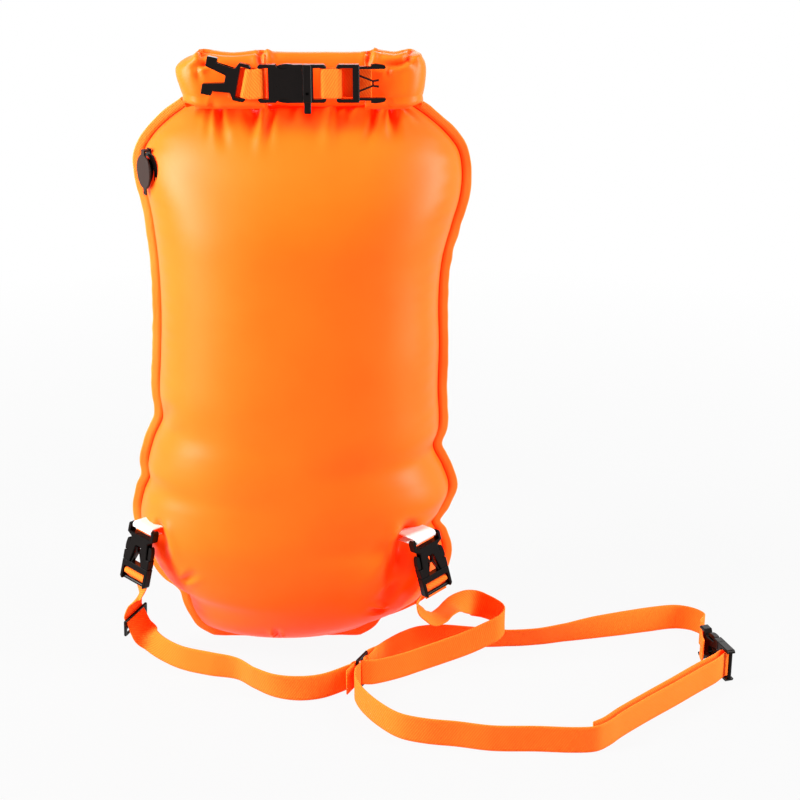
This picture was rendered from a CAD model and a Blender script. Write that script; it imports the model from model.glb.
# Looks of the inflatable swim buoy, dressed over its solids.
# Metres, +Z up, the front faces -Y.
from math import ceil, copysign, cos, dist, exp, hypot, pi, radians, sin, sqrt

import bmesh
import bpy
from mathutils import Matrix, Vector, noise


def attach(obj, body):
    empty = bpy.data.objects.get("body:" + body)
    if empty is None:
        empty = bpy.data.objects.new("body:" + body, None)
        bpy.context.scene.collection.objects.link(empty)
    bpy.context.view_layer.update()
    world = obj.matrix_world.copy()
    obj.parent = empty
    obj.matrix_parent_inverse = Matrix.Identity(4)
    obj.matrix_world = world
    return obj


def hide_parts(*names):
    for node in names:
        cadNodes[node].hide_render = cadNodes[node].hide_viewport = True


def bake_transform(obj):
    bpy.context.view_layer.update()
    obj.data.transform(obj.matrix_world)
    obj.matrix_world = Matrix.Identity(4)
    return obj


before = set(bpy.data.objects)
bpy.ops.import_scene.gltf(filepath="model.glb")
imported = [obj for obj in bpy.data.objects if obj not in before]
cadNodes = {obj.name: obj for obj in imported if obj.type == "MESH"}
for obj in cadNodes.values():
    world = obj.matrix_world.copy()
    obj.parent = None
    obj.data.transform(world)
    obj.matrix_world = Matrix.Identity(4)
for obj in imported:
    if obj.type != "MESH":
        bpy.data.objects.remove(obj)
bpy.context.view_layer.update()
print("frame loaded,", len(cadNodes), "nodes")


def link(item):
    bpy.context.scene.collection.objects.link(item)


# Camera: level heading, tipped down, long lens
cameraSet = {"place": (0.096, -1.4538, 0.7475), "tipDown": 19, "lens": 74.25, "sensor": 36}


def makeCamera():
    data = bpy.data.cameras.new("camera")
    data.lens = cameraSet["lens"]
    data.sensor_width = cameraSet["sensor"]
    item = bpy.data.objects.new("camera", data)
    item.location = cameraSet["place"]
    item.rotation_euler = (radians(90 - cameraSet["tipDown"]), 0, 0)
    link(item)
    bpy.context.scene.camera = item


makeCamera()


# Node helpers

def addNode(tree, kind, values=None, **settings):
    node = tree.nodes.new("ShaderNode" + kind)
    for key, value in settings.items():
        setattr(node, key, value)
    for key, value in (values or {}).items():
        node.inputs[key].default_value = value
    return node


def wire(tree, start, end):
    tree.links.new(start, end)


def newFinish(name, colour, roughness, specular, sheen=0.0, glow=0.0, glowColour=None):
    material = bpy.data.materials.new(name)
    material.use_nodes = True
    tree = material.node_tree
    shader = tree.nodes["Principled BSDF"]
    shader.inputs["Base Color"].default_value = (*colour, 1)
    shader.inputs["Roughness"].default_value = roughness
    shader.inputs["Specular IOR Level"].default_value = specular
    shader.inputs["Sheen Weight"].default_value = sheen
    if glow:
        shader.inputs["Emission Color"].default_value = (*glowColour, 1)
        shader.inputs["Emission Strength"].default_value = glow
        material.cycles.emission_sampling = "NONE"
    return material, tree, shader


def tint(tree, shader, factor, low, high):
    # base colour runs from low to high with the factor
    mix = addNode(tree, "Mix", data_type="RGBA")
    mix.inputs[6].default_value = (*low, 1)
    mix.inputs[7].default_value = (*high, 1)
    wire(tree, factor, mix.inputs[0])
    wire(tree, mix.outputs[2], shader.inputs["Base Color"])
    return mix


def roughen(tree, shader, factor, low, high):
    spread = addNode(tree, "MapRange", {"To Min": low, "To Max": high})
    wire(tree, factor, spread.inputs["Value"])
    wire(tree, spread.outputs["Result"], shader.inputs["Roughness"])


def addBump(tree, shader, height, distance, strength, under=None):
    bump = addNode(tree, "Bump", {"Distance": distance, "Strength": strength})
    wire(tree, height, bump.inputs["Height"])
    if under:
        wire(tree, under.outputs["Normal"], bump.inputs["Normal"])
    wire(tree, bump.outputs["Normal"], shader.inputs["Normal"])
    return bump


def deepenFolds(tree, shader, colour, most=1.0):
    # the colour turns deep where the piece's Fold value says that the cloth lies in a valley
    fold = addNode(tree, "Attribute", attribute_name="Fold")
    limit = addNode(tree, "MapRange", {"To Max": most})
    wire(tree, fold.outputs["Fac"], limit.inputs["Value"])
    openColour = shader.inputs["Base Color"].links[0].from_socket
    mix = tint(tree, shader, limit.outputs["Result"], colour, colour)
    wire(tree, openColour, mix.inputs[6])


def objectNoise(tree, size, detail=2.0, stretch=(1, 1, 1)):
    coords = addNode(tree, "TexCoord")
    mapping = addNode(tree, "Mapping")
    mapping.inputs["Scale"].default_value = stretch
    wire(tree, coords.outputs["Object"], mapping.inputs["Vector"])
    cloud = addNode(tree, "TexNoise", {"Scale": 1 / size, "Detail": detail})
    wire(tree, mapping.outputs["Vector"], cloud.inputs["Vector"])
    return cloud.outputs["Fac"]


def ribs(tree, source, pitch, turn=(0, 0, 0)):
    # parallel ribs, one every pitch, turned by degrees round x, y and z
    mapping = addNode(tree, "Mapping")
    mapping.inputs["Rotation"].default_value = [radians(part) for part in turn]
    wave = addNode(tree, "TexWave", {"Scale": pi / 10 / pitch, "Distortion": 0.0})
    wire(tree, source, mapping.inputs["Vector"])
    wire(tree, mapping.outputs["Vector"], wave.inputs["Vector"])
    return wave.outputs["Fac"]


def combineFactors(tree, one, two, kind="MULTIPLY"):
    maths = addNode(tree, "Math", operation=kind)
    wire(tree, one, maths.inputs[0])
    wire(tree, two, maths.inputs[1])
    return maths.outputs[0]


# Finishes
fabricSet = {
    "deep": (0.95, 0.143, 0.004), "light": (1, 0.174, 0.007), "glow": (1, 0.01, 0),
    "glowStrength": 0.6, "specular": 0.2, "sheen": 0.03, "roughness": (0.36, 0.44), "cloud": 0.05,
    "weave": 0.0007, "weaveRelief": 0.00003, "grain": 0.0016, "grainRelief": 0.00006, "strength": 0.5,
    "valley": (0.9, 0.035, 0.001), "valleyShare": 0.62,
}
weldSet = {
    "low": (0.92, 0.13, 0.004), "high": (1, 0.31, 0.03), "line": (0.62, 0.025, 0.001), "glowShare": 0.8,
    "roughness": 0.5, "specular": 0.3, "rib": 0.0017, "relief": 0.00022, "strength": 0.8,
}
webbingSet = {
    "deep": (0.86, 0.125, 0.008), "light": (1, 0.29, 0.022), "glow": (1, 0.012, 0),
    "glowStrength": 0.45, "roughness": 0.7, "specular": 0.12, "sheen": 0.05, "twillAngle": 33,
    "twill": 0.002, "rib": 0.0009, "relief": 0.00016, "fuzz": 0.0005, "fuzzRelief": 0.00005,
    "strength": 0.7, "fuzzStrength": 0.4,
}
tapeSet = {
    "colour": (0.93, 0.92, 0.91), "low": (0.86, 0.83, 0.81), "high": (0.95, 0.94, 0.93),
    "roughness": 0.6, "specular": 0.3, "sheen": 0.1, "rib": 0.0012, "relief": 0.0001,
    "strength": 0.6,
}
plasticSet = {
    "specular": 0.11, "cloud": 0.006, "mottle": (0.8, 1.25), "grain": 0.0009, "relief": 0.00002,
    "strength": 0.35,
}
buckleLook = {"colour": (0.0045, 0.0028, 0.0024), "roughness": (0.17, 0.26)}
capLook = {"colour": (0.026, 0.013, 0.01), "roughness": (0.42, 0.55)}
siliconeLook = {"colour": (0.62, 0.6, 0.55), "roughness": (0.4, 0.5)}
stiffenerLook = {"colour": (0.7, 0.7, 0.68), "roughness": (0.4, 0.5)}


def coatedFabric(name, shift=0.0):
    deep, light = fabricSet["deep"], fabricSet["light"]
    material, tree, shader = newFinish(
        name, deep, fabricSet["roughness"][1], fabricSet["specular"], fabricSet["sheen"],
        fabricSet["glowStrength"], fabricSet["glow"])
    cloud = objectNoise(tree, fabricSet["cloud"])
    tint(tree, shader, cloud, (deep[0], deep[1] + shift, deep[2]), (light[0], light[1] + shift, light[2]))
    roughen(tree, shader, cloud, *fabricSet["roughness"])
    coords = addNode(tree, "TexCoord")
    across = ribs(tree, coords.outputs["Object"], fabricSet["weave"])
    up = ribs(tree, coords.outputs["Object"], fabricSet["weave"], (0, 90, 0))
    weave = combineFactors(tree, across, up)
    grain = objectNoise(tree, fabricSet["grain"], 2.0, (1, 1, 0.6))
    under = addBump(tree, shader, weave, fabricSet["weaveRelief"], fabricSet["strength"])
    addBump(tree, shader, grain, fabricSet["grainRelief"], fabricSet["strength"], under)
    deepenFolds(tree, shader, fabricSet["valley"], fabricSet["valleyShare"])
    return material


def weldTape(name):
    # diagonal ribs both ways, and a dark pressed line
    material, tree, shader = newFinish(
        name, fabricSet["deep"], weldSet["roughness"], weldSet["specular"],
        glow=fabricSet["glowStrength"] * weldSet["glowShare"], glowColour=fabricSet["glow"])
    coords = addNode(tree, "TexCoord")
    one, two = (ribs(tree, coords.outputs["Object"], weldSet["rib"], (0, turn, 0)) for turn in (45, -45))
    cross = combineFactors(tree, one, two, "MAXIMUM")
    tint(tree, shader, cross, weldSet["low"], weldSet["high"])
    addBump(tree, shader, cross, weldSet["relief"], weldSet["strength"])
    deepenFolds(tree, shader, weldSet["line"])
    return material


def strapWebbing(name):
    material, tree, shader = newFinish(
        name, webbingSet["light"], webbingSet["roughness"], webbingSet["specular"], webbingSet["sheen"],
        webbingSet["glowStrength"], webbingSet["glow"])
    lay = addNode(tree, "UVMap", uv_map="Weave")
    twill = ribs(tree, lay.outputs["UV"], webbingSet["twill"], (0, 0, webbingSet["twillAngle"]))
    fine = ribs(tree, lay.outputs["UV"], webbingSet["rib"])
    cloth = combineFactors(tree, twill, fine, "ADD")
    spread = addNode(tree, "MapRange", {"From Max": 2.0})
    wire(tree, cloth, spread.inputs["Value"])
    tint(tree, shader, spread.outputs["Result"], webbingSet["deep"], webbingSet["light"])
    fuzz = objectNoise(tree, webbingSet["fuzz"])
    under = addBump(tree, shader, cloth, webbingSet["relief"], webbingSet["strength"])
    addBump(tree, shader, fuzz, webbingSet["fuzzRelief"], webbingSet["fuzzStrength"], under)
    return material


def whiteTape(name):
    material, tree, shader = newFinish(
        name, tapeSet["colour"], tapeSet["roughness"], tapeSet["specular"], tapeSet["sheen"])
    lay = addNode(tree, "UVMap", uv_map="Weave")
    twill = ribs(tree, lay.outputs["UV"], tapeSet["rib"])
    tint(tree, shader, twill, tapeSet["low"], tapeSet["high"])
    addBump(tree, shader, twill, tapeSet["relief"], tapeSet["strength"])
    return material


def mouldedPlastic(name, look):
    material, tree, shader = newFinish(name, look["colour"], look["roughness"][1], plasticSet["specular"])
    cloud = objectNoise(tree, plasticSet["cloud"], 3.0)
    roughen(tree, shader, cloud, *look["roughness"])
    low, high = (tuple(part * share for part in look["colour"]) for share in plasticSet["mottle"])
    tint(tree, shader, cloud, low, high)
    grain = objectNoise(tree, plasticSet["grain"])
    addBump(tree, shader, grain, plasticSet["relief"], plasticSet["strength"])
    return material


bagFabric = coatedFabric("orange coated fabric")
rollFabric = coatedFabric("orange rolled fabric", 0.01)
flangeTape = weldTape("orange weld")
webbing = strapWebbing("orange webbing")
tapeWhite = whiteTape("white tape")
blackPlastic = mouldedPlastic("black buckle plastic", buckleLook)
capPlastic = mouldedPlastic("brown black cap", capLook)
print("finishes made")


# Mesh helpers

def addMesh(name, points, faces, material):
    mesh = bpy.data.meshes.new(name)
    mesh.from_pydata([tuple(point) for point in points], [], faces)
    mesh.materials.append(material)
    work = bmesh.new()
    work.from_mesh(mesh)
    bmesh.ops.recalc_face_normals(work, faces=work.faces)
    work.to_mesh(mesh)
    work.free()
    mesh.shade_smooth()
    item = bpy.data.objects.new(name, mesh)
    link(item)
    return item


def tubeFaces(rings, sides):
    faces = []
    for i in range(rings - 1):
        for j in range(sides):
            k = (j + 1) % sides
            faces.append((i * sides + j, i * sides + k, (i + 1) * sides + k, (i + 1) * sides + j))
    return faces + [tuple(range(sides)), tuple(range((rings - 1) * sides, rings * sides))]


def clamp(value):
    return min(1.0, max(0.0, value))


def hermite(start, end, lead, trail, u):
    # from start to end, setting out along lead and arriving along trail
    return (
        start * (1 + 2 * u) * (1 - u) ** 2 + lead * u * (1 - u) ** 2
        + end * u * u * (3 - 2 * u) + trail * u * u * (u - 1)
    )


def around(line, i):
    # the neighbours of a point, or the point itself at an end
    return line[max(i - 1, 0)], line[min(i + 1, len(line) - 1)]


def cloudAt(x, y, z):
    return noise.noise(Vector((x, y, z)))


def markFolds(item, values):
    # one value per point, 0 on open cloth to 1 in a valley
    fold = item.data.attributes.new("Fold", "FLOAT", "POINT")
    for i, value in enumerate(values):
        fold.data[i].value = clamp(value)


def standFor(item, node):
    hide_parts(node)
    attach(item, "root")


# Straps
strapSet = {
    "width": 0.025, "thickness": 0.0015, "tapeWidth": 0.0235, "tapeThickness": 0.0012,
    "step": 0.0025, "shortStep": 0.0015,
}
upright = (0, 0, 1)
sideways = (0, 1, 0)
edgeOn = (0, 0.9455, -0.3256)


def route(*rows):
    # places along a strap, each with the way its width points where that isn't upright
    return [(row[:3], row[3] if len(row) > 3 else upright) for row in rows]


leftLeashNeck = route(
    (-0.1495, -0.044, 0.075, (-0.3, 0.93, 0.2)), (-0.149, -0.0415, 0.069, (0.05, 0.97, 0.2)),
    (-0.1545, -0.0415, 0.0595, (0.46, 0.84, 0.27)),
)
leftLeashFloor = route(
    (-0.1505, -0.0375, 0.03, (0.52, 0.7, 0.4)), (-0.141, -0.0425, 0.02, (0.2, 0.1, 0.97)),
    (-0.127, -0.053, 0.015, (0.05, 0.05, 1)), (-0.108, -0.066, 0.0132), (-0.082, -0.077, 0.0131),
    (-0.056, -0.086, 0.0131, (0, -0.15, 1)), (-0.037, -0.105, 0.0131, (0, -0.2, 1)),
    (-0.018, -0.119, 0.0131, (0, -0.1, 1)), (0.004, -0.124, 0.0131), (0.026, -0.1205, 0.0138),
)
rightLeashFloor = route(
    (0.073, -0.0965, 0.015), (0.096, -0.0825, 0.0136), (0.118, -0.069, 0.0145),
    (0.137, -0.061, 0.0175), (0.159, -0.054, 0.0226), (0.176, -0.049, 0.0285),
    (0.187, -0.045, 0.0325), (0.193, -0.0395, 0.035), (0.1953, -0.033, 0.0365),
    (0.1938, -0.026, 0.038), (0.1875, -0.018, 0.039), (0.177, -0.012, 0.041, (0, 0.1, 1)),
    (0.1675, -0.011, 0.0434, (0, 0.35, 0.93)), (0.1585, -0.017, 0.0466, (0, 0.85, 0.5)),
    (0.1472, -0.026, 0.0475, (0, 0.99, 0.12)), (0.1388, -0.035, 0.0458, sideways),
    (0.132, -0.043, 0.0449, sideways), (0.1243, -0.05, 0.0473, sideways),
    (0.1176, -0.055, 0.054, (0, 1, -0.1)), (0.113, -0.0585, 0.061, (0, 0.98, -0.2)),
    (0.1125, -0.0585, 0.067, edgeOn), (0.1158, -0.0572, 0.072, (0.1, 0.95, -0.25)),
    (0.1205, -0.0562, 0.0775, (0.35, 0.92, -0.08)), (0.1232, -0.0555, 0.0835, (0.6, 0.78, 0.08)),
)
farBeltRoute = route(
    (0.075, -0.068, 0.015), (0.084, -0.052, 0.0132), (0.097, -0.037, 0.0131),
    (0.113, -0.025, 0.0131), (0.135, -0.02, 0.0131, (0, -0.1, 1)),
    (0.165, -0.0225, 0.0129, (0, -0.2, 0.98)), (0.199, -0.0234, 0.0121, (0, -0.42, 0.91)),
    (0.228, -0.02, 0.012, (0, -0.42, 0.91)), (0.256, -0.012, 0.0125, (0, -0.33, 0.94)),
    (0.284, -0.003, 0.0131, (0, -0.08, 1)), (0.313, 0.006, 0.0131, (0, 0.1, 1)),
    (0.342, 0.015, 0.013, (0, 0.18, 0.98)), (0.367, 0.0205, 0.0131, (0, 0.1, 1)),
    (0.383, 0.015, 0.0136), (0.3925, -0.001, 0.015),
)
farBeltEnd = [
    (-0.016, -0.0048), (-0.008, -0.0038), (0.0008, -0.0033), (0.0038, -0.0012),
    (0.0045, 0.0016), (0.0056, 0.0044), (0.0082, 0.0066), (0.014, 0.0088), (0.022, 0.0112),
]
nearBeltRoute = route(
    (0.056, -0.129, 0.015), (0.064, -0.148, 0.0132), (0.079, -0.172, 0.0131),
    (0.096, -0.19, 0.0131), (0.118, -0.199, 0.0131), (0.145, -0.204, 0.0131),
    (0.175, -0.211, 0.0131), (0.213, -0.212, 0.0131), (0.245, -0.214, 0.0131),
    (0.264, -0.212, 0.0131), (0.276, -0.203, 0.0131), (0.29, -0.187, 0.0131),
    (0.317, -0.16, 0.0131), (0.345, -0.134, 0.0134), (0.37, -0.111, 0.0145), (0.387, -0.097, 0.016),
)
nearBeltTail = route(
    (0.386, -0.0895, 0.0168), (0.366, -0.1065, 0.016), (0.341, -0.13, 0.015),
    (0.313, -0.1565, 0.0145), (0.286, -0.183, 0.0142), (0.272, -0.1985, 0.014),
    (0.262, -0.206, 0.0138),
)

# Buckles and sliders: bar centre, the way the length runs, the way the face looks
places = {
    "leftWaist": ((-0.1403, -0.0515, 0.1396), (-0.21, -0.02, -0.977), (-0.58, -0.8, 0.14)),
    "rightWaist": ((0.118, -0.066, 0.137), (0.226, 0.02, -0.974), (0.6, -0.79, 0.13)),
    "belt": ((0.386, -0.036, 0.0168), (0.29, -0.957, 0), (-0.957, -0.29, 0)),
    "leftSlider": ((-0.156, -0.035, 0.038), (-0.1, 0.414, -0.904), (-0.825, 0.477, 0.31)),
    "centreSlider": ((0.061, -0.097, 0.0166), (-0.42, -0.907, 0), (-0.907, 0.42, 0)),
}
buckleSet = {
    "gap": 0.0003, "endBar": 0.0542, "endBarRadius": 0.0018, "midBar": 0.0472, "midBarRadius": 0.0014,
    "socketBarRadius": 0.0018, "plugEnd": 0.056,
}
sliderSet = {"pitch": 0.01, "barRadius": 0.0011, "frame": 0.0022}
# How the webbing passes the slider's bars, in pitches, and its height there as a share of the loop's
threadSet = {
    "clear": 1.35, "tail": 1.6, "dip": (0.65, 0.72), "cross": 0.43,
    "leave": (0.39, 0.17), "leaveHeight": 0.75,
}


def frameFrom(place):
    origin, along, facing = (Vector(part) for part in place)
    along.normalize()
    facing = (facing - along * facing.dot(along)).normalized()
    turn = Matrix((along.cross(facing), along, facing)).transposed().to_4x4()
    turn.translation = origin
    return turn


def smoothRoute(stations, step):
    spots = [Vector(spot) for spot, _ in stations]
    widths = [Vector(width).normalized() for _, width in stations]
    result = []
    for i in range(len(spots) - 1):
        p0, p1, p2 = spots[max(i - 1, 0)], spots[i], spots[i + 1]
        p3 = spots[min(i + 2, len(spots) - 1)]
        span = (p2 - p1).length
        before = (p1 - p0).length or span
        after = (p3 - p2).length or span
        lead = (p2 - p0) / (before + span) * span
        trail = (p3 - p1) / (span + after) * span
        count = max(1, ceil(span / step))
        for k in range(count):
            u = k / count
            result.append((hermite(p1, p2, lead, trail, u), widths[i].lerp(widths[i + 1], u).normalized()))
    result.append((spots[-1], widths[-1]))
    return result


def ribbonFrames(line):
    result = []
    for i, (spot, across) in enumerate(line):
        before, after = around(line, i)
        run = (after[0] - before[0]).normalized()
        across = (across - run * across.dot(run)).normalized()
        result.append((spot, across, run.cross(across)))
    return result


def ribbonOutline(width, thickness):
    # flat faces with rounded selvedges, as (across, out) pairs
    half, edge = width / 2, thickness / 2
    flat = [-1, -0.78, -0.5, -0.25, 0, 0.25, 0.5, 0.78, 1]
    upper = [((half - edge) * share, edge) for share in flat]
    shoulder = (half - edge * 0.3, edge * 0.7)
    side = upper + [shoulder, (half, 0), (shoulder[0], -shoulder[1])]
    return side + [(-x, -y) for x, y in side]


def makeRibbon(
        name, stations, material=webbing, width=strapSet["width"], thickness=strapSet["thickness"],
        step=strapSet["step"]):
    line = ribbonFrames(smoothRoute(stations, step))
    outline = ribbonOutline(width, thickness)
    points = []
    travel = [0.0]
    for i, (spot, across, out) in enumerate(line):
        if i:
            travel.append(travel[-1] + (spot - line[i - 1][0]).length)
        points += [spot + across * a + out * b for a, b in outline]
    item = addMesh(name, points, tubeFaces(len(line), len(outline)), material)
    lay = item.data.uv_layers.new(name="Weave")
    for polygon in item.data.polygons:
        for corner in polygon.loop_indices:
            at = item.data.loops[corner].vertex_index
            ring, side = divmod(at, len(outline))
            lay.data[corner].uv = (travel[ring], outline[side][0])
    return item, [spot for spot, _, _ in line], travel[-1]


def stationsIn(place, pairs, flip=1):
    across = place.to_3x3() @ Vector((flip, 0, 0))
    return [(place @ Vector((0, along, out)), across) for along, out in pairs]


def roundBar(along, radius, start, end, count=6):
    angles = [radians(start + (end - start) * i / count) for i in range(count + 1)]
    return [(along + radius * cos(a), radius * sin(a)) for a in angles]


def lapRadius(bar, thickness=strapSet["thickness"]):
    return bar + buckleSet["gap"] + thickness / 2


# the way of the webbing through a plug and round a slider's bar, as (along, out) pairs
midBar = buckleSet["midBar"]
midLap = lapRadius(buckleSet["midBarRadius"])
behindEndBar = -lapRadius(buckleSet["endBarRadius"])
mainOut = behindEndBar - strapSet["thickness"] - buckleSet["gap"]
overMidBar = roundBar(midBar, midLap, 180, 0)
threadedMain = [
    (buckleSet["endBar"], mainOut), (midBar + midLap, mainOut),
    (midBar - midLap * 0.7, mainOut + midLap * 0.4)]
threadedTail = [(midBar + midLap * 1.15, -midLap * 0.65), (buckleSet["endBar"], behindEndBar)]
sliderLap = lapRadius(hypot(sliderSet["barRadius"], sliderSet["frame"] / 2))
pitch = sliderSet["pitch"]
halfTurn = [pi * i / 6 for i in range(7)]


def barLoop(bar, toward, tailSide):
    reach = pitch * threadSet["tail"] * toward
    loop = [(bar - toward * sliderLap * sin(a), tailSide * sliderLap * cos(a)) for a in halfTurn]
    return [(bar + reach, tailSide * sliderLap)] + loop + [(bar + reach * 0.5, -tailSide * sliderLap)]


leftWaist, rightWaist, beltBuckle, leftSlider, centreSlider = (frameFrom(place) for place in places.values())


def leftLeashRoute():
    out = sliderLap + buckleSet["gap"]
    clear = pitch * threadSet["clear"]
    weave = stationsIn(leftSlider, [(-clear, out), (-pitch, out), (-pitch / 2, 0), (0, -out)])
    looped = out + strapSet["thickness"] + buckleSet["gap"] * 2
    dip, dipHeight = threadSet["dip"]
    crossing = [
        (clear, looped), (pitch, looped), (pitch * dip, looped * dipHeight),
        (pitch * threadSet["cross"], buckleSet["gap"])]
    start = stationsIn(leftWaist, threadedTail[::-1] + overMidBar[::-1] + threadedMain[::-1])
    return start + leftLeashNeck + weave + leftLeashFloor + stationsIn(centreSlider, crossing, -1)


def rightLeashRoute():
    looped = sliderLap + strapSet["thickness"] + buckleSet["gap"] * 3
    start, end = threadSet["leave"]
    leaving = [(pitch * start, -buckleSet["gap"] * 2), (pitch * end, -looped * threadSet["leaveHeight"])]
    behind = [(midBar, behindEndBar * 3)] + threadedMain[2:]
    freeEnd = [(buckleSet["plugEnd"] + buckleSet["endBarRadius"] * 2, behindEndBar * 1.1)]
    ends = stationsIn(rightWaist, behind + overMidBar + threadedTail + freeEnd, -1)
    return stationsIn(centreSlider, leaving, -1) + rightLeashFloor + ends


def farBeltStations():
    start = stationsIn(centreSlider, barLoop(-pitch, -1, -1), -1)
    return start + farBeltRoute + stationsIn(beltBuckle, farBeltEnd, -1)


def nearBeltStations():
    ladder = [(midBar + midLap * 1.1, midLap)] + roundBar(midBar, midLap, 0, -180)
    start = stationsIn(centreSlider, barLoop(pitch, 1, 1), -1)
    return start + nearBeltRoute + stationsIn(beltBuckle, ladder, -1)


def nearBeltTailStations():
    low = midBar - midLap
    return stationsIn(beltBuckle, [(low, 0), (low, midLap), (low, midLap * 2)], -1) + nearBeltTail


def makeStrap(name, node, stations, backwards=False):
    item, path, length = makeRibbon(name, stations)
    path = path[::-1] if backwards else path
    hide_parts(node)
    print(f"strap {name}: {length * 1000:.0f} mm")
    return item


leftLeash = makeStrap("left_leash_webbing", "leash_left_run", leftLeashRoute())
rightLeash = makeStrap(
    "right_leash_webbing", "leash_right_run", rightLeashRoute(), backwards=True)
farBelt = makeStrap("far_belt_webbing", "belt_far_band", farBeltStations())
nearBelt = makeStrap(
    "near_belt_webbing", "belt_near_band", nearBeltStations())
# the belt's free tail lies behind the near band
beltTail, tailPath, tailLength = makeRibbon("belt_tail_webbing", nearBeltTailStations())
for strap in (farBelt, nearBelt, beltTail):
    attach(strap, "root")
# the slider and the curl stay on the root, so only the webbing above them follows the buckles
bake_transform(leftLeash)
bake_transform(rightLeash)
print("straps made")


# Bag: the seam seen from the front, bottom to top, as shares of the neck height and the half width
leftSeamShares = [
    (0.023, -0.56), (0.04, -0.64), (0.075, -0.7), (0.104, -0.725), (0.119, -0.76),
    (0.137, -0.84), (0.17, -0.912), (0.215, -0.972), (0.264, -1), (0.303, -0.973),
    (0.331, -0.932), (0.362, -0.936), (0.408, -0.89), (0.446, -0.832), (0.5, -0.842),
    (0.56, -0.826), (0.65, -0.808), (0.74, -0.812), (0.82, -0.838), (0.885, -0.878),
    (0.92, -0.872), (0.95, -0.81), (0.975, -0.72), (1, -0.6),
]
rightSeamShares = [
    (0.023, 0.36), (0.04, 0.44), (0.06, 0.5), (0.075, 0.64), (0.092, 0.745),
    (0.115, 0.83), (0.145, 0.885), (0.182, 0.912), (0.215, 0.885), (0.242, 0.838),
    (0.275, 0.9), (0.31, 0.945), (0.35, 0.905), (0.388, 0.845), (0.428, 0.88),
    (0.5, 0.872), (0.58, 0.878), (0.66, 0.872), (0.735, 0.892), (0.8, 0.95),
    (0.845, 0.994), (0.888, 1.005), (0.925, 0.98), (0.955, 0.9), (0.98, 0.8),
    (1, 0.7),
]
bagSet = {
    "halfWidth": 0.15, "seamLow": 0.012, "neck": 0.521, "shoulder": 0.4, "frontDepth": 0.088,
    "backDepth": 0.084, "footRounding": 0.13, "footSquash": 0.125, "frontDrop": 0.14, "backDrop": 0.85,
    "seamGap": 0.00015, "lensPower": 2.1, "lensRoot": 0.47, "shoulderRoot": 0.7, "neckDepth": 0.17,
    "rows": 250, "columns": 170, "pucker": 0.0013, "puckerReach": 0.03, "puckerRise": 0.003,
    "puckerPitch": 0.017, "puckerSway": 2.2, "unevenness": 0.0016, "footFade": 0.02, "edgeFade": 12,
    "slopeSpan": 0.1, "valleyReach": 0.006, "neckTuck": 0.004, "creaseTint": 0.0085, "creaseGain": 1.25,
    "waves": (11, 9), "swayWaves": 30, "gatherWaves": 14, "sideLean": 0.45, "upLean": 0.7,
}
flangeSet = {
    "width": 0.01, "thickness": 0.0009, "sink": 0.001, "wave": 0.00168, "wander": 0.07,
    "step": 0.003, "smoothing": 14, "footSteps": 60, "lineShare": 0.2,
    "waves": 28, "edgeWaves": 90,
}
# Creases of the front: start and end as (x, height), half width, depth; a negative depth is a ridge
frontCreases = [
    ((-0.069, 0.524), (-0.0676, 0.495), 0.0022, 0.0024), ((-0.0655, 0.524), (-0.064, 0.496), 0.0022, -0.0014),
    ((-0.063, 0.524), (-0.0508, 0.485), 0.003, 0.0038), ((-0.0302, 0.524), (-0.0272, 0.498), 0.0048, 0.0042),
    ((-0.0219, 0.524), (-0.0241, 0.48), 0.003, -0.003), ((-0.0146, 0.524), (-0.0194, 0.485), 0.0032, 0.0026),
    ((0.004, 0.524), (0.003, 0.505), 0.003, 0.0018), ((0.02, 0.524), (0.019, 0.502), 0.0034, 0.0014),
    ((0.0365, 0.524), (0.0321, 0.483), 0.004, -0.003), ((0.043, 0.524), (0.039, 0.498), 0.003, 0.0018),
    ((0.0535, 0.524), (0.0465, 0.504), 0.0028, 0.0034), ((0.064, 0.524), (0.059, 0.508), 0.0026, -0.0014),
    ((0.0779, 0.524), (0.0644, 0.49), 0.0028, 0.0044), ((0.0829, 0.524), (0.0831, 0.495), 0.0026, -0.002),
    ((0.0879, 0.524), (0.092, 0.492), 0.003, 0.0048), ((0.0969, 0.522), (0.118, 0.506), 0.002, 0.0024),
    ((-0.1262, 0.14), (-0.118, 0.094), 0.0044, 0.0042), ((-0.104, 0.09), (-0.088, 0.108), 0.003, 0.0026),
    ((0.1035, 0.14), (0.095, 0.11), 0.0066, 0.0072), ((0.0985, 0.118), (0.086, 0.074), 0.0078, 0.007),
    ((0.088, 0.084), (0.074, 0.064), 0.005, 0.004), ((-0.122, 0.24), (-0.108, 0.262), 0.005, 0.0022),
    ((0.133, 0.206), (0.118, 0.215), 0.005, 0.0026), ((-0.019, 0.027), (-0.0205, 0.05), 0.0022, 0.0034),
    ((-0.0234, 0.03), (-0.025, 0.048), 0.0022, -0.0018), ((0.0794, 0.0597), (0.064, 0.066), 0.0024, 0.004),
    ((0.08, 0.065), (0.064, 0.072), 0.0024, -0.0024),
]
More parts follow.
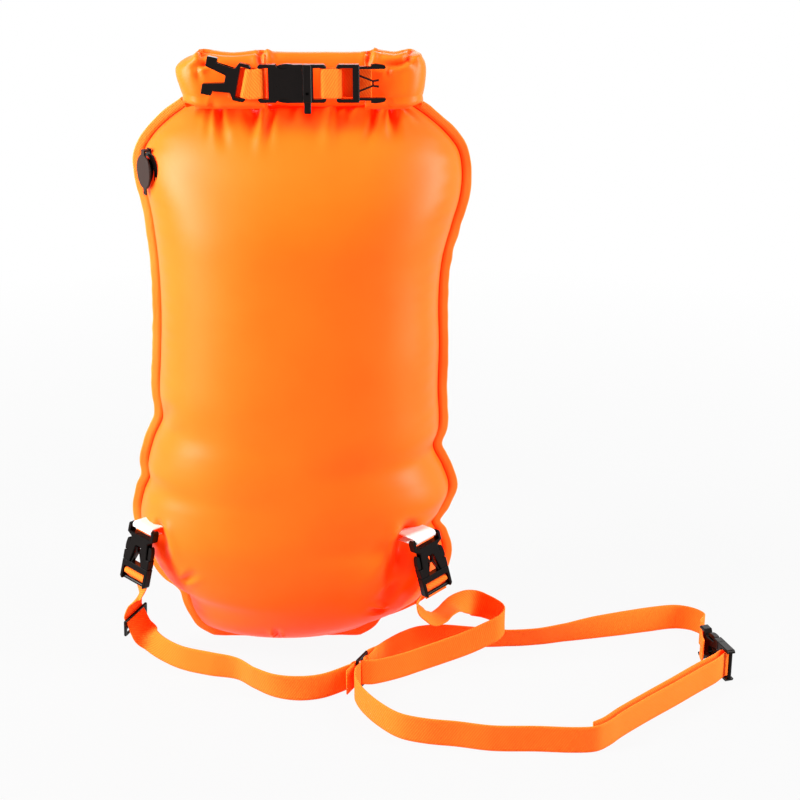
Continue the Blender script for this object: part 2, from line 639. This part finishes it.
# Creases of the back, of the same kind
backCreases = [
    ((-0.072, 0.524), (-0.066, 0.486), 0.003, 0.0036), ((-0.046, 0.524), (-0.041, 0.496), 0.0034, 0.0028),
    ((-0.02, 0.524), (-0.021, 0.478), 0.0034, -0.0028), ((0.006, 0.524), (0.004, 0.49), 0.003, 0.0032),
    ((0.031, 0.524), (0.034, 0.498), 0.003, 0.0024), ((0.056, 0.524), (0.054, 0.482), 0.0036, 0.004),
    ((0.07, 0.524), (0.073, 0.495), 0.003, -0.002), ((0.088, 0.524), (0.095, 0.486), 0.0028, 0.004),
    ((-0.108, 0.196), (-0.088, 0.23), 0.005, 0.0022), ((0.124, 0.198), (0.108, 0.216), 0.005, 0.0022),
    ((-0.102, 0.07), (-0.086, 0.096), 0.004, 0.003), ((0.08, 0.054), (0.06, 0.074), 0.004, 0.0032),
]


def follow(pairs, place):
    # smooth line through (place, value) pairs
    if place <= pairs[0][0]:
        return pairs[0][1]
    if place >= pairs[-1][0]:
        return pairs[-1][1]
    i = max(k for k in range(len(pairs) - 1) if pairs[k][0] <= place)

    def slope(k):
        before, after = around(pairs, k)
        return (after[1] - before[1]) / (after[0] - before[0])

    span = pairs[i + 1][0] - pairs[i][0]
    u = (place - pairs[i][0]) / span
    return hermite(pairs[i][1], pairs[i + 1][1], slope(i) * span, slope(i + 1) * span, u)


def seamSpan(height):
    # the seam's left and right x at a height
    share = height / bagSet["neck"]
    return tuple(follow(shares, share) * bagSet["halfWidth"] for shares in (leftSeamShares, rightSeamShares))


def bulge(height, across, depth):
    # how far the panel stands out: round at the foot, full in the middle, flat at the neck
    low = clamp((height - bagSet["seamLow"]) / bagSet["footRounding"])
    foot = sqrt(max(0.0, 1 - (1 - low) ** 2))
    high = clamp((height - bagSet["shoulder"]) / (bagSet["neck"] - bagSet["shoulder"]))
    top = bagSet["neckDepth"] + (1 - bagSet["neckDepth"]) * (1 - high * high) ** bagSet["shoulderRoot"]
    lens = max(0.0, 1 - abs(across) ** bagSet["lensPower"]) ** bagSet["lensRoot"]
    return depth * foot * top * lens


def panelPoint(height, across, side, depth):
    left, right = seamSpan(height)
    middle, half = (left + right) / 2, (right - left) / 2
    stand = bulge(height, across, depth)
    hang = max(0.0, 1 - (height - bagSet["seamLow"]) / bagSet["footSquash"])
    drop = bagSet["frontDrop" if side < 0 else "backDrop"] * stand * hang * (1 - across * across)
    return Vector((middle + half * across, side * (bagSet["seamGap"] + stand), max(0.0, height - drop)))


creaseSet = {"widening": 0.6, "shoulder": 0.32, "shoulderAt": 1.9, "leadIn": 2, "cutOff": 4}


def creaseDepth(x, height, creases):
    # a groove with soft shoulders, deepest at its start and gone at its end
    total = 0.0
    for start, end, width, depth in creases:
        runX, runZ = end[0] - start[0], end[1] - start[1]
        length = hypot(runX, runZ)
        along = ((x - start[0]) * runX + (height - start[1]) * runZ) / length
        if along < -width * creaseSet["leadIn"] or along > length:
            continue
        off = abs((x - start[0]) * runZ - (height - start[1]) * runX) / length
        reach = width * (1 + creaseSet["widening"] * max(along, 0) / length)
        if off > reach * creaseSet["cutOff"]:
            continue
        fade = 1 - max(along, 0) / length
        fade = fade * fade * (3 - 2 * fade)
        if along < 0:
            fade *= max(0.0, 1 + along / (width * creaseSet["leadIn"]))
        beside = (off - reach * creaseSet["shoulderAt"]) / reach
        groove = exp(-(off / reach) ** 2) - creaseSet["shoulder"] * exp(-beside ** 2)
        total += depth * fade * groove
    return total


def seamPucker(height, across, side, left, right):
    # short gathers that run in from the welded edge
    edge = (1 - abs(across)) * (right - left) / 2
    if edge > bagSet["puckerReach"]:
        return 0.0
    fade = (1 - edge / bagSet["puckerReach"]) ** 2 * min(1.0, edge / bagSet["puckerRise"])
    sway = cloudAt(height * bagSet["swayWaves"], side * 7 + (3 if across > 0 else 0), 0)
    wave = sin(2 * pi * height / bagSet["puckerPitch"] + sway * bagSet["puckerSway"])
    strength = 0.5 + 0.5 * cloudAt(height * bagSet["gatherWaves"], 5 + side, 9 if across > 0 else 2)
    return bagSet["pucker"] * fade * wave * max(0.0, strength)


def panelHeights():
    low, rows = bagSet["seamLow"], bagSet["rows"]
    return [low + (bagSet["neck"] - low) * (k / rows) for k in range(rows + 1)]


def closingShares(count):
    # from -1 to 1 in steps that close up towards both ends
    return [-cos(pi * j / count) for j in range(count + 1)]


def makePanel(name, node, side, depth, creases):
    heights = panelHeights()
    shares = closingShares(bagSet["columns"])
    waves = bagSet["waves"]
    wide = len(shares)
    points = []
    folds = []
    for height in heights:
        left, right = seamSpan(height)
        for across in shares:
            point = panelPoint(height, across, side, depth)
            crease = creaseDepth(point.x, height, creases) * bagSet["creaseGain"]
            stand = abs(point.y) + max(0.0, height - bagSet["neck"] + bagSet["neckTuck"])
            folds.append(exp(-stand / bagSet["valleyReach"]) + crease / bagSet["creaseTint"])
            push = seamPucker(height, across, side, left, right) - crease
            soft = cloudAt(point.x * waves[0], height * waves[1], 4 + side) * bagSet["unevenness"]
            rim = min(1.0, (1 - abs(across)) * bagSet["edgeFade"])
            rim *= min(1.0, (height - bagSet["seamLow"]) / bagSet["footFade"])
            slopeUp = clamp((height - bagSet["shoulder"]) / bagSet["slopeSpan"])
            normal = Vector((across * bagSet["sideLean"], side, slopeUp * bagSet["upLean"])).normalized()
            points.append(point + normal * ((push + soft) * rim))
    for point in points:
        point.z = max(point.z, 0.0)
    faces = []
    for i in range(len(heights) - 1):
        for j in range(wide - 1):
            a = i * wide + j
            face = (a, a + 1, a + wide + 1, a + wide)
            faces.append(face if side < 0 else face[::-1])
    item = addMesh(name, points, faces, bagFabric)
    markFolds(item, folds)
    standFor(item, node)


def rimLine():
    heights = panelHeights()
    left = [Vector((seamSpan(z)[0], 0, z)) for z in heights[::-1]]
    right = [Vector((seamSpan(z)[1], 0, z)) for z in heights]
    lowLeft, lowRight = left[-1].x, right[0].x
    middle, half = (lowLeft + lowRight) / 2, (lowRight - lowLeft) / 2
    foot = [Vector((middle + half * share, 0, heights[0])) for share in closingShares(flangeSet["footSteps"])]
    return left + foot[1:-1] + right


def evenly(line, step):
    # the same line with a point every step
    travel = [0.0]
    for i in range(1, len(line)):
        travel.append(travel[-1] + (line[i] - line[i - 1]).length)
    count = max(2, round(travel[-1] / step))
    result = []
    at = 0
    for k in range(count + 1):
        goal = travel[-1] * k / count
        while at < len(line) - 2 and travel[at + 1] < goal:
            at += 1
        share = (goal - travel[at]) / max(travel[at + 1] - travel[at], 1e-9)
        result.append(line[at].lerp(line[at + 1], share))
    return result


def makeFlange():
    line = evenly(rimLine(), flangeSet["step"])
    normals = []
    for i in range(len(line)):
        before, after = around(line, i)
        run = (after - before).normalized()
        normals.append(Vector((run.z, 0, -run.x)))
    for _ in range(flangeSet["smoothing"]):
        pairs = [around(normals, i) for i in range(len(normals))]
        normals = [(before + here * 2 + after).normalized() for (before, after), here in zip(pairs, normals)]
    half = flangeSet["thickness"] / 2
    # across the weld as (share, thickness share): the pressed line, the tape and its rounded outer edge
    profile = [
        (0, 0.9), (0.1, 0.3), (0.19, 0.3), (0.22, 1),
        (0.55, 1), (0.9, 1), (0.985, 0.7), (1, 0)]
    loop = profile + [(share, -thick) for share, thick in profile[-2::-1]]
    points = []
    folds = []
    for spot, normal in zip(line, normals):
        waves, edgeWaves = flangeSet["waves"], flangeSet["edgeWaves"]
        ripple = cloudAt(spot.x * waves, spot.z * waves, 1.5) * flangeSet["wave"]
        edge = 1 + flangeSet["wander"] * cloudAt(spot.x * edgeWaves, spot.z * edgeWaves, 7)
        for share, thick in loop:
            out = flangeSet["width"] * share * edge - flangeSet["sink"]
            point = spot + normal * out + Vector((0, half * thick + ripple * share * share, 0))
            point.z = max(point.z, 0.0)
            points.append(point)
            folds.append(1.0 if share < flangeSet["lineShare"] else 0.0)
    item = addMesh("weld_flange", points, tubeFaces(len(line), len(loop)), flangeTape)
    markFolds(item, folds)
    standFor(item, "perimeter_weld")


makePanel("front_panel_fabric", "front_panel", -1, bagSet["frontDepth"], frontCreases)
makePanel("back_panel_fabric", "back_panel", 1, bagSet["backDepth"], backCreases)
makeFlange()
print("bag made")


# Rolled mouth
rollSet = {
    "height": 0.048, "half": 0.01, "backY": -0.014, "foldGap": 0.001, "left": -0.0765, "right": 0.099,
    "leftEnd": -0.018, "rightEnd": 0.066, "sheet": 0.0011, "turns": 3.25, "layerPitch": 0.0021,
    "firstTurn": 0.08, "startAngle": -0.55, "square": (0.72, 0.8), "core": (0.0006, 0.002),
    "step": 0.0018, "bendSteps": 20, "fineSteps": 84, "coarseSteps": 20, "endReach": (0.012, 0.024),
    "foldTint": 0.007, "unevenness": 0.0013, "upLean": 0.6,
    "waves": 34, "upWaves": 22,
}
# Creases of the roll, seen from the front: start and end as (x, z), half width, depth
rollCreases = [
    ((-0.08, 0.572), (-0.064, 0.559), 0.0021, 0.0058), ((-0.0735, 0.57), (-0.06, 0.565), 0.0018, 0.003),
    ((-0.069, 0.5612), (-0.085, 0.558), 0.002, 0.004), ((-0.076, 0.556), (-0.074, 0.545), 0.0022, 0.0022),
    ((-0.024, 0.572), (-0.0172, 0.548), 0.002, 0.0034), ((-0.0175, 0.572), (-0.0125, 0.548), 0.0026, -0.002),
    ((0.0712, 0.572), (0.0666, 0.552), 0.002, 0.0038), ((0.075, 0.572), (0.0715, 0.556), 0.0024, -0.0018),
    ((0.1125, 0.57), (0.0955, 0.5612), 0.002, 0.0056), ((0.0985, 0.5622), (0.07, 0.559), 0.0022, 0.005),
    ((0.103, 0.5642), (0.113, 0.554), 0.0017, 0.0034), ((0.087, 0.557), (0.084, 0.55), 0.002, 0.0022),
    ((-0.066, 0.5215), (-0.056, 0.53), 0.0024, 0.0024), ((0.088, 0.5215), (0.08, 0.529), 0.0024, 0.0022),
]
# the top and bottom edges seen from the front, as (x, lift), and the ends drawn in, as (z, shift)
rollTop = [
    (-0.09, -0.001), (-0.0819, 0.0023), (-0.0733, 0.0021), (-0.0487, -0.0009), (-0.024, 0.0012),
    (-0.0095, 0), (0.055, 0), (0.0696, 0.0009), (0.0735, 0.0024), (0.0926, 0.0005), (0.1113, 0.0032),
    (0.1194, -0.002),
]
rollBottom = [
    (-0.092, 0.0062), (-0.0844, 0.0052), (-0.0742, 0.0045), (-0.0614, 0.0042), (-0.045, 0.0044),
    (-0.019, 0.0048), (-0.0172, 0), (0.0652, 0), (0.0668, 0.0044), (0.0943, 0.0044), (0.1062, 0.0048),
    (0.1161, 0.0062),
]
rollLeftIn = [(0.5213, 0.0068), (0.54, 0.0036), (0.557, 0), (0.563, 0.003), (0.57, 0.01)]
rollRightIn = [(0.5213, -0.0036), (0.545, -0.0014), (0.562, 0), (0.5665, -0.002), (0.572, -0.0074)]
rollMiddle = bagSet["neck"] + 0.0003 + rollSet["height"] / 2


def rollPlan():
    radius = rollSet["half"] + rollSet["foldGap"] / 2
    left, right, back = rollSet["left"], rollSet["right"], rollSet["backY"]
    front = back - 2 * radius

    def bend(x, start):
        # half a turn round a folded end
        for i in range(1, rollSet["bendSteps"]):
            angle = start - pi * i / rollSet["bendSteps"]
            out = (cos(angle), sin(angle))
            line.append(((x + radius * out[0], front + radius + radius * out[1]), out))

    line = [((rollSet["leftEnd"], front), (0, -1)), ((left, front), (0, -1))]
    bend(left, -pi / 2)
    line += [((left, back), (0, 1)), ((right, back), (0, 1))]
    bend(right, pi / 2)
    line += [((right, front), (0, -1)), ((rollSet["rightEnd"], front), (0, -1))]
    result = []
    for (spot, out), (nextSpot, nextOut) in zip(line, line[1:]):
        count = max(1, round(dist(spot, nextSpot) / rollSet["step"]))
        for k in range(count):
            u = k / count
            here = Vector(spot).lerp(Vector(nextSpot), u)
            result.append((here, Vector(out).lerp(Vector(nextOut), u).normalized()))
    result.append((Vector(line[-1][0]), Vector(line[-1][1])))
    return result


def rollSpiral():
    # the sheet from the neck up, over the top and inwards, as (across, up) pairs
    high, wide = rollSet["height"] / 2 - rollSet["sheet"] / 2, rollSet["half"] - rollSet["sheet"] / 2
    line = [(wide * 0.96, -high), (wide, -high * 0.8)]
    # the turn that shows is close set, the ones inside it are coarse
    fine, coarse = rollSet["fineSteps"], rollSet["coarseSteps"]
    thinnest, lowest = rollSet["core"]
    squareAcross, squareUp = rollSet["square"]
    turns = [i / fine for i in range(fine)] + [
        1 + i / coarse for i in range(int((rollSet["turns"] - 1) * coarse))]
    for turn in turns:
        angle = rollSet["startAngle"] + 2 * pi * turn
        inward = rollSet["layerPitch"] * max(0.0, turn - rollSet["firstTurn"])
        cosine, sine = cos(angle), sin(angle)
        across = max(wide - inward, thinnest) * copysign(abs(cosine) ** squareAcross, cosine)
        up = max(high - inward, lowest) * copysign(abs(sine) ** squareUp, sine)
        line.append((across, up))
    return line


def sheetOutline(line, thickness):
    one, two = [], []
    for i, here in enumerate(line):
        before, after = around(line, i)
        run = Vector((after[0] - before[0], after[1] - before[1])).normalized()
        side = Vector((-run.y, run.x)) * thickness / 2
        one.append((here[0] + side.x, here[1] + side.y))
        two.append((here[0] - side.x, here[1] - side.y))
    return one + two[::-1]


def rollShape(point, out):
    # uneven edges, ends drawn in, creases and slight unevenness
    x = point.x
    up = (point.z - rollMiddle) / (rollSet["height"] / 2)
    front = clamp(-out.y * 2 + 0.4)
    near, far = rollSet["endReach"]
    leftShare = clamp((rollSet["left"] + near - x) / far)
    rightShare = clamp((x - rollSet["right"] + near) / far)
    shift = follow(rollLeftIn, point.z) * leftShare + follow(rollRightIn, point.z) * rightShare
    crease = creaseDepth(x, point.z, rollCreases) * front
    point.z += follow(rollTop, x) * max(0.0, up) + follow(rollBottom, x) * max(0.0, -up) * front
    point.x += shift
    facing = Vector((out.x, out.y, up * rollSet["upLean"])).normalized()
    waves = rollSet["waves"]
    soft = cloudAt(x * waves, point.y * waves, point.z * rollSet["upWaves"]) * rollSet["unevenness"]
    return point + facing * (soft - crease), crease


def makeRoll():
    outline = sheetOutline(rollSpiral(), rollSet["sheet"])
    points = []
    folds = []
    rings = rollPlan()
    for spot, out in rings:
        flat = Vector((out.x, out.y, 0))
        for across, up in outline:
            point = Vector((spot.x, spot.y, rollMiddle)) + flat * across + Vector((0, 0, up))
            outerShare = clamp((abs(across) / rollSet["half"]) ** 2 + (2 * up / rollSet["height"]) ** 2)
            shaped, crease = rollShape(point.copy(), flat * (1 if across > 0 else -0.4))
            points.append(point.lerp(shaped, outerShare))
            folds.append(crease / rollSet["foldTint"])
    item = addMesh("rolled_mouth", points, tubeFaces(len(rings), len(outline)), rollFabric)
    markFolds(item, folds)
    standFor(item, "roll_top")


makeRoll()
print("roll made")


# Roll tabs, white loops
tabSet = {
    "buckleX": -0.022, "buckleZ": 0.547, "gapX": 0.0118, "tilt": radians(12), "halfBuckle": 0.004,
    "leftTail": -0.05, "rightTail": 0.072, "loopDeep": 0.026, "lead": 1.2, "loopSpread": 0.3,
}
rollFront = rollSet["backY"] - 2 * (rollSet["half"] + rollSet["foldGap"] / 2) - rollSet["half"]


def rollFrame(barX, toward, tilt=0.0):
    barY = rollFront - 2 * buckleSet["gap"] - strapSet["thickness"] - tabSet["halfBuckle"]
    along = (toward * cos(tilt), 0, sin(tilt))
    return frameFrom(((barX, barY, tabSet["buckleZ"]), along, (0, -1, 0)))


def makeRollTab(name, node, farPlace, along, slotSide, barRadius, tailX):
    # from its tail round the roll buckle's bar, and on round the open half's bar
    tailY = rollFront - buckleSet["gap"] - strapSet["thickness"] / 2
    lap = lapRadius(barRadius)
    nearX = (rollBuckle @ Vector((0, along, 0))).x
    lead = lap * tabSet["lead"] * (1 if tailX > nearX else -1)
    z = tabSet["buckleZ"]
    line = [(Vector((x, tailY, z)), Vector(upright)) for x in (tailX, (tailX + nearX) / 2, nearX + lead)]
    near = [(along + slotSide * lap * sin(a), -lap * cos(a)) for a in halfTurn]
    far = [(along - slotSide * lap * 1.3, lap)]
    far += [(along + slotSide * lap * sin(a), lap * cos(a)) for a in halfTurn]
    line += stationsIn(rollBuckle, near, -1) + stationsIn(farPlace, far)
    item, _, _ = makeRibbon(name, line, step=strapSet["shortStep"])
    standFor(item, node)


def makeLoop(name, node, place):
    lap = lapRadius(buckleSet["socketBarRadius"], strapSet["tapeThickness"])
    spread, deep = lap * tabSet["loopSpread"], tabSet["loopDeep"]
    pairs = [(-lap - spread, -deep), (-lap - spread * 0.5, -lap * 2)]
    pairs += roundBar(0.0, lap, 180, 0, 8)
    pairs += [(lap + spread * 0.5, -lap * 2), (lap + spread, -deep)]
    item, _, _ = makeRibbon(
        name, stationsIn(place, pairs), tapeWhite, strapSet["tapeWidth"], strapSet["tapeThickness"],
        strapSet["shortStep"])
    standFor(item, node)


rollBuckle = rollFrame(tabSet["buckleX"], 1)
openSocket = rollFrame(tabSet["buckleX"] - tabSet["gapX"], -1, tabSet["tilt"])
openPlug = rollFrame(tabSet["buckleX"] + tabSet["gapX"] + 2 * buckleSet["endBar"], -1)
makeRollTab(
    "left_tab_webbing", "left_roll_tab", openSocket, 0.0, 1, buckleSet["socketBarRadius"], tabSet["leftTail"])
makeRollTab(
    "right_tab_webbing", "right_roll_tab", openPlug, buckleSet["endBar"], -1, buckleSet["endBarRadius"],
    tabSet["rightTail"])
makeLoop("left_white_loop", "left_corner_loop", leftWaist)
makeLoop("right_white_loop", "right_corner_loop", rightWaist)
print("tabs and loops made")


# Rigid pieces keep their solids and get their finish
edgeSet = {"width": 0.0004, "segments": 3, "sharpest": radians(32)}


def dress(node, material):
    item = cadNodes[node]
    item.data.materials.clear()
    item.data.materials.append(material)
    edge = item.modifiers.new("Moulded edges", "BEVEL")
    edge.width = edgeSet["width"]
    edge.segments = edgeSet["segments"]
    edge.limit_method = "ANGLE"
    edge.angle_limit = edgeSet["sharpest"]


for node in cadNodes:
    if any(part in node for part in ("_socket", "_plug", "_arm_", "triglide", "valve_base")):
        dress(node, blackPlastic)
dress("valve_cap", capPlastic)
dress("valve_flap", mouldedPlastic("pale silicone", siliconeLook))
dress("mouth_stiffener", mouldedPlastic("stiffener strip", stiffenerLook))
dress("dry_pouch", bagFabric)
print("rigid pieces finished")


# Floor, backdrop and light
stageSet = {
    "floor": 16.0, "floorDown": 0.0003, "floorTone": 0.22, "sky": 0.045, "nearGlow": 0.93,
    "shadowReach": (0.5, 1.5),
}
lampSet = {
    "key": {"place": (-1.13, -0.48, 0.9), "aim": (0, 0, 0.4), "size": (0.45, 1.4), "power": 52},
    "fill": {"place": (1.3, -0.3, 0.8), "aim": (0.1, 0, 0.38), "size": (0.35, 1.4), "power": 31},
    "top": {"place": (0.1, -1.2, 2.1), "aim": (0.05, 0, 0.4), "size": (0.9, 0.9), "power": 1},
    "rim": {"place": (0.3, 1.5, 1.4), "aim": (0, 0, 0.3), "size": (1.2, 1.2), "power": 11},
}


def cameraFactor(tree):
    # true for the camera, and for what gloss and clear parts show
    paths = addNode(tree, "LightPath")
    glossy = combineFactors(tree, paths.outputs["Is Camera Ray"], paths.outputs["Is Glossy Ray"], "MAXIMUM")
    return combineFactors(tree, glossy, paths.outputs["Is Transmission Ray"], "MAXIMUM")


def mixShaders(tree, share, one, two, output):
    mix = addNode(tree, "MixShader")
    for start, end in zip((share, one.outputs[0], two.outputs[0]), mix.inputs):
        wire(tree, start, end)
    wire(tree, mix.outputs[0], tree.nodes[output].inputs["Surface"])


def makeFloor():
    bpy.ops.mesh.primitive_plane_add(size=stageSet["floor"] * 2, location=(0, 0, -stageSet["floorDown"]))
    floor = bpy.context.object
    floor.name = "floor"
    material = bpy.data.materials.new("pale floor")
    material.use_nodes = True
    tree = material.node_tree
    shader = tree.nodes["Principled BSDF"]
    shader.inputs["Base Color"].default_value = (*[stageSet["floorTone"]] * 3, 1)
    shader.inputs["Roughness"].default_value = 0.9
    # white to the camera, and the shadow near the object shows through it
    near, far = stageSet["shadowReach"]
    spot = addNode(tree, "VectorMath", operation="LENGTH")
    wire(tree, addNode(tree, "TexCoord").outputs["Object"], spot.inputs[0])
    reach = addNode(tree, "MapRange", {"From Min": near, "From Max": far, "To Min": stageSet["nearGlow"]})
    wire(tree, spot.outputs["Value"], reach.inputs["Value"])
    share = combineFactors(tree, cameraFactor(tree), reach.outputs["Result"])
    glow = addNode(tree, "Emission", {"Strength": 1.0})
    mixShaders(tree, share, shader, glow, "Material Output")
    material.cycles.emission_sampling = "NONE"
    floor.data.materials.append(material)


def makeSky():
    world = bpy.data.worlds.new("studio")
    bpy.context.scene.world = world
    world.use_nodes = True
    tree = world.node_tree
    light = tree.nodes["Background"]
    light.inputs["Color"].default_value = (1, 1, 1, 1)
    light.inputs["Strength"].default_value = stageSet["sky"]
    white = addNode(tree, "Background", {"Color": (1, 1, 1, 1), "Strength": 1.0})
    mixShaders(tree, cameraFactor(tree), light, white, "World Output")


def makeLamps():
    for name, lamp in lampSet.items():
        data = bpy.data.lights.new(name, "AREA")
        data.shape = "RECTANGLE"
        data.size, data.size_y = lamp["size"]
        data.energy = lamp["power"]
        item = bpy.data.objects.new(name, data)
        item.location = lamp["place"]
        item.rotation_euler = (Vector(lamp["aim"]) - item.location).to_track_quat("-Z", "Y").to_euler()
        link(item)


makeFloor()
makeSky()
makeLamps()
bpy.context.scene.view_settings.view_transform = "Standard"
print("stage set")
